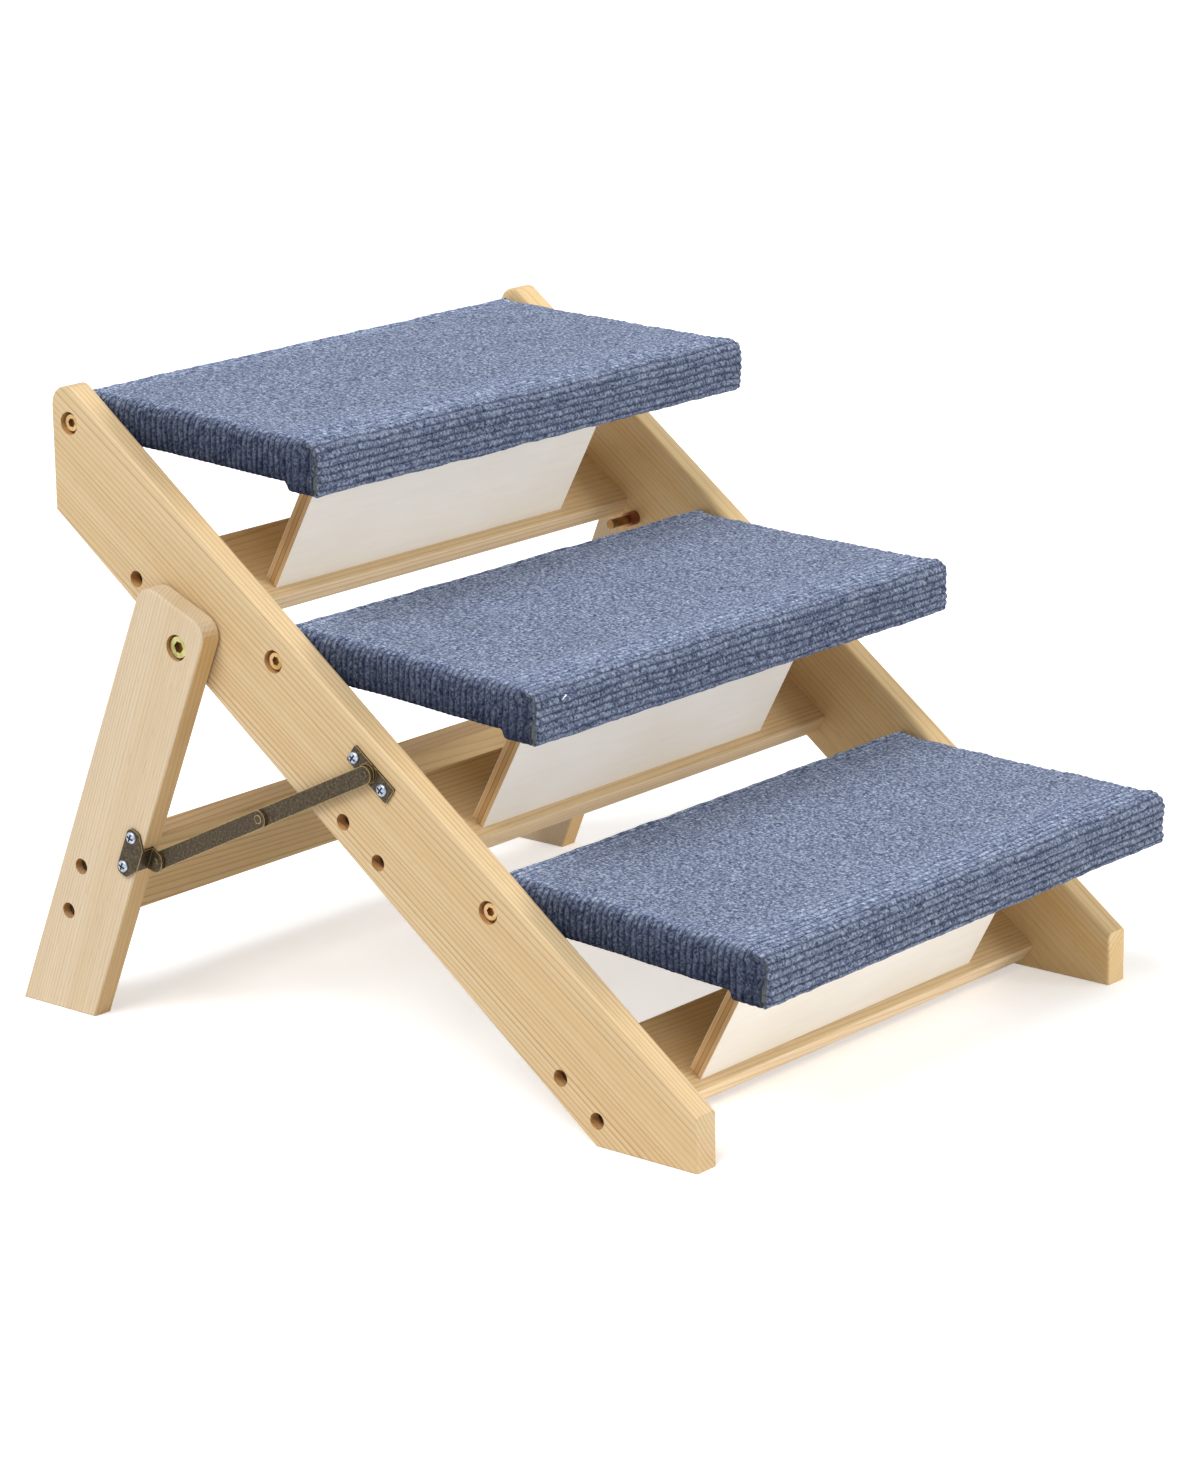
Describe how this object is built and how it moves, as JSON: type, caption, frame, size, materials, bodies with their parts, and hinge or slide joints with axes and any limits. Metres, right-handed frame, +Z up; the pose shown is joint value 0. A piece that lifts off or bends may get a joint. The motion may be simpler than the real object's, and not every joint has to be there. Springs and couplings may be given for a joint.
{
  "type": "folding pet stairs",
  "caption": "Folding wooden pet stairs: carpeted treads hinged between two sloping rails, on rear legs that fold along the rails with strip-metal stays.",
  "frame": {"origin": "on the floor, halfway between the two sides and halfway between the front of the lowest tread and the heels of the legs", "axes": "+X across the stairs to the right as one stands behind the front step facing it, +Y from the front step to the back, +Z up"},
  "size_m": [0.4646, 0.5588, 0.3866],
  "materials": {
    "pine": "planed pine, clear matt lacquer",
    "riser_panel": "thin plywood with a pale smooth face",
    "tread_plywood": "raw board under the carpet",
    "carpet": "ribbed needle-felt carpet, heathered blue and grey",
    "antique_brass": "darkened brass plating on strip steel",
    "yellow_zinc": "yellow passivated zinc",
    "screw_steel": "bright zinc"
  },
  "bodies": {
    "frame": {"rail_left": "pine", "rail_right": "pine", "slat_bottom": "pine", "slat_middle": "pine", "slat_top": "pine", "slat_screws": "screw_steel", "tread_bolts": "yellow_zinc", "tread_washers": "screw_steel", "leg_bolts": "yellow_zinc", "leg_bolt_nuts": "yellow_zinc", "leg_washers": "screw_steel", "rail_bracket_left": "antique_brass", "rail_bracket_right": "antique_brass", "rail_bracket_screws": "screw_steel", "rail_bracket_rivets": "antique_brass"},
    "rear_legs": {"leg_left": "pine", "leg_right": "pine", "crossbar": "pine", "crossbar_screws": "screw_steel", "leg_bracket_left": "antique_brass", "leg_bracket_right": "antique_brass", "leg_bracket_screws": "screw_steel", "leg_bracket_rivets": "antique_brass"},
    "bottom_tread": {"tread_board_bottom": "tread_plywood", "tread_carpet_bottom": "carpet", "tread_inserts_bottom": "screw_steel", "tread_hinge_leaves_bottom": "antique_brass", "hinge_pins_bottom": "screw_steel", "tread_hinge_screws_bottom": "screw_steel"},
    "bottom_riser": {"riser_bottom": "riser_panel", "riser_hinge_leaves_bottom": "antique_brass", "riser_hinge_screws_bottom": "screw_steel"},
    "middle_tread": {"tread_board_middle": "tread_plywood", "tread_carpet_middle": "carpet", "tread_inserts_middle": "screw_steel", "tread_hinge_leaves_middle": "antique_brass", "hinge_pins_middle": "screw_steel", "tread_hinge_screws_middle": "screw_steel"},
    "middle_riser": {"riser_middle": "riser_panel", "riser_hinge_leaves_middle": "antique_brass", "riser_hinge_screws_middle": "screw_steel"},
    "top_tread": {"tread_board_top": "tread_plywood", "tread_carpet_top": "carpet", "tread_inserts_top": "screw_steel", "tread_hinge_leaves_top": "antique_brass", "hinge_pins_top": "screw_steel", "tread_hinge_screws_top": "screw_steel"},
    "top_riser": {"riser_top": "riser_panel", "riser_hinge_leaves_top": "antique_brass", "riser_hinge_screws_top": "screw_steel"},
    "left_front_link": {"stay_front_link_left": "antique_brass", "stay_front_rivet_left": "antique_brass"},
    "left_rear_link": {"stay_rear_link_left": "antique_brass", "stay_rear_rivet_left": "antique_brass"},
    "right_front_link": {"stay_front_link_right": "antique_brass", "stay_front_rivet_right": "antique_brass"},
    "right_rear_link": {"stay_rear_link_right": "antique_brass", "stay_rear_rivet_right": "antique_brass"}
  },
  "joints": [
    {"name": "legs_fold", "type": "hinge", "parent": "frame", "child": "rear_legs", "pos_m": [0, 0.13376, 0.2456], "axis": [1, 0, 0], "range_deg": [-75.95, 0]},
    {"name": "bottom_tread_lift", "type": "hinge", "parent": "frame", "child": "bottom_tread", "pos_m": [0, -0.09097, 0.12282], "axis": [1, 0, 0], "range_deg": [-65, 0]},
    {"name": "bottom_riser_fold", "type": "hinge", "parent": "bottom_tread", "child": "bottom_riser", "pos_m": [0, -0.2084, 0.1023], "axis": [1, 0, 0], "range_deg": [0, 64.1]},
    {"name": "middle_tread_lift", "type": "hinge", "parent": "frame", "child": "middle_tread", "pos_m": [0, 0.07077, 0.24382], "axis": [1, 0, 0], "range_deg": [-65, 0]},
    {"name": "middle_riser_fold", "type": "hinge", "parent": "middle_tread", "child": "middle_riser", "pos_m": [0, -0.04665, 0.2233], "axis": [1, 0, 0], "range_deg": [0, 64.1]},
    {"name": "top_tread_lift", "type": "hinge", "parent": "frame", "child": "top_tread", "pos_m": [0, 0.23252, 0.36482], "axis": [1, 0, 0], "range_deg": [-110, 0]},
    {"name": "top_riser_fold", "type": "hinge", "parent": "top_tread", "child": "top_riser", "pos_m": [0, 0.1151, 0.3443], "axis": [1, 0, 0], "range_deg": [0, 64.1]},
    {"name": "left_front_link_fold", "type": "hinge", "parent": "frame", "child": "left_front_link", "pos_m": [0, -0.00287, 0.18935], "axis": [1, 0, 0], "range_deg": [-110.91, 0]},
    {"name": "left_rear_link_fold", "type": "hinge", "parent": "rear_legs", "child": "left_rear_link", "pos_m": [0, 0.16603, 0.10657], "axis": [1, 0, 0], "range_deg": [0, 137.19]},
    {"name": "right_front_link_fold", "type": "hinge", "parent": "frame", "child": "right_front_link", "pos_m": [0, -0.00287, 0.18935], "axis": [1, 0, 0], "range_deg": [-110.91, 0]},
    {"name": "right_rear_link_fold", "type": "hinge", "parent": "rear_legs", "child": "right_rear_link", "pos_m": [0, 0.16603, 0.10657], "axis": [1, 0, 0], "range_deg": [0, 137.19]}
  ],
  "couplings": [
    {"joint": "bottom_riser_fold", "follows": "bottom_tread_lift", "ratio": -0.98615},
    {"joint": "middle_riser_fold", "follows": "middle_tread_lift", "ratio": -0.98615},
    {"joint": "top_riser_fold", "follows": "top_tread_lift", "ratio": -0.58273},
    {"joint": "left_front_link_fold", "follows": "legs_fold", "ratio": 1.4603},
    {"joint": "left_rear_link_fold", "follows": "legs_fold", "ratio": -1.8063},
    {"joint": "right_front_link_fold", "follows": "legs_fold", "ratio": 1.4603},
    {"joint": "right_rear_link_fold", "follows": "legs_fold", "ratio": -1.8063}
  ]
}
